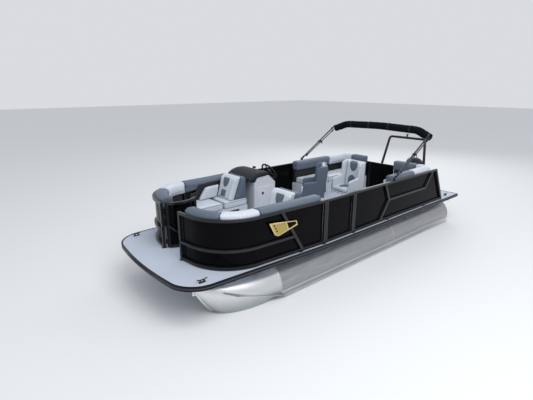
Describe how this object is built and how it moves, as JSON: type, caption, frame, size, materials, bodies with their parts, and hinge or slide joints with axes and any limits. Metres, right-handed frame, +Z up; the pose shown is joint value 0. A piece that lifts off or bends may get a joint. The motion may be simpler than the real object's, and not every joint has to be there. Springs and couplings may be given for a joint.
{
  "type": "pontoon boat",
  "caption": "Twin-tube pontoon boat with fenced deck, lounge seats, helm console, folded canopy, tow bar and outboard motor.",
  "frame": {"origin": "under the middle of the boat, midway along its overall length, on its centre plane, at the bottom of the keels", "axes": "+X to the bow, +Y to port, +Z up"},
  "size_m": [8.4832, 2.59, 2.4906],
  "materials": {
    "hull_metal": "brushed",
    "deck_mat": "woven vinyl",
    "rail_black": "satin black",
    "panel_black": "gloss black",
    "edge_black": "satin black",
    "vinyl_slate": "smooth marine vinyl",
    "vinyl_light": "smooth marine vinyl",
    "vinyl_black": "smooth marine vinyl",
    "moulding_light": "gloss",
    "moulding_dark": "fine grain",
    "cloth_black": "woven canvas",
    "cowl_black": "gloss",
    "motor_dark": "satin",
    "steel": "polished"
  },
  "bodies": {
    "hull": {"pontoon_tube_port": "hull_metal", "pontoon_tube_starboard": "hull_metal", "pontoon_nose_port": "hull_metal", "pontoon_nose_starboard": "hull_metal", "crossmembers": "hull_metal", "motor_pod": "hull_metal", "deck": "deck_mat", "rub_rail": "edge_black", "bow_fence_frame_port": "rail_black", "bow_fence_frame_starboard": "rail_black", "bow_fence_panels": "panel_black", "aft_fence_frame_port": "rail_black", "aft_fence_frame_starboard": "rail_black", "aft_fence_panels": "panel_black", "stern_fence_frame": "rail_black", "stern_fence_panel": "panel_black", "bow_seat_bases": "moulding_light", "bow_seat_cushions": "vinyl_light", "bow_bolsters": "vinyl_slate", "bow_back_bands": "vinyl_black", "chaise_backs": "vinyl_light", "aft_seat_bases": "moulding_light", "aft_seat_cushions": "vinyl_light", "aft_back_bands": "vinyl_black", "aft_bolsters": "vinyl_slate", "helm_console": "moulding_light", "dash_cowl": "moulding_dark", "chair_pedestals": "hull_metal", "canopy_clamps": "rail_black", "tow_bar": "rail_black", "motor_bracket": "motor_dark", "ladder_brackets": "steel", "cleats": "rail_black"},
    "bow_gate": {"bow_gate_frame": "rail_black", "bow_gate_panel": "panel_black"},
    "side_gate": {"side_gate_frame": "rail_black", "side_gate_panel": "panel_black"},
    "stern_gate": {"stern_gate_frame": "rail_black", "stern_gate_panel": "panel_black"},
    "wheel": {"steering_wheel": "moulding_dark"},
    "helm_seat": {"helm_chair": "vinyl_slate"},
    "companion_seat": {"companion_chair": "vinyl_light"},
    "canopy": {"canopy_bows": "rail_black", "canopy_boot": "cloth_black"},
    "tilt_bracket": {"motor_swivel": "motor_dark"},
    "motor": {"motor_leg": "motor_dark", "motor_cowl": "cowl_black"},
    "screw": {"propeller": "steel"},
    "ladder": {"boarding_ladder": "steel"}
  },
  "joints": [
    {"name": "bow_gate_hinge", "type": "hinge", "parent": "hull", "child": "bow_gate", "pos_m": [3.681, -0.2635, 1.135], "axis": [0, 0, 1], "range_deg": [-90, 0]},
    {"name": "side_gate_hinge", "type": "hinge", "parent": "hull", "child": "side_gate", "pos_m": [1.691, 1.187, 1.135], "axis": [0, 0, 1], "range_deg": [0, 90]},
    {"name": "stern_gate_hinge", "type": "hinge", "parent": "hull", "child": "stern_gate", "pos_m": [-1.808, 0.28, 1.135], "axis": [0, 0, 1], "range_deg": [0, 90]},
    {"name": "wheel_turn", "type": "hinge", "parent": "hull", "child": "wheel", "pos_m": [1.354, -0.687, 1.54], "axis": [-0.8387, 0, 0.5446], "range_deg": [-540, 540]},
    {"name": "helm_seat_swivel", "type": "hinge", "parent": "hull", "child": "helm_seat", "pos_m": [0.729, 0.04, 1.166], "axis": [0, 0, 1], "continuous": true},
    {"name": "companion_seat_swivel", "type": "hinge", "parent": "hull", "child": "companion_seat", "pos_m": [0.049, 0.35, 1.166], "axis": [0, 0, 1], "continuous": true},
    {"name": "canopy_swing", "type": "hinge", "parent": "hull", "child": "canopy", "pos_m": [-0.261, 0, 1.64], "axis": [0, 1, 0], "range_deg": [-24, 57]},
    {"name": "motor_tilt", "type": "hinge", "parent": "hull", "child": "tilt_bracket", "pos_m": [-3.256, 0, 0.76], "axis": [0, 1, 0], "range_deg": [-50, 15]},
    {"name": "motor_steer", "type": "hinge", "parent": "tilt_bracket", "child": "motor", "pos_m": [-3.30421, 0, 0.81745], "axis": [0.766, 0, 0.6428], "range_deg": [-30, 30]},
    {"name": "screw_turn", "type": "hinge", "parent": "motor", "child": "screw", "pos_m": [-4.13771, 0, 0.62065], "axis": [0.6428, 0, -0.766], "continuous": true},
    {"name": "ladder_swing", "type": "hinge", "parent": "hull", "child": "ladder", "pos_m": [-2.973, -0.89, 0.867], "axis": [0, -1, 0], "range_deg": [0, 262]}
  ],
  "couplings": [
    {"joint": "wheel_turn", "follows": "motor_steer", "ratio": -18}
  ]
}
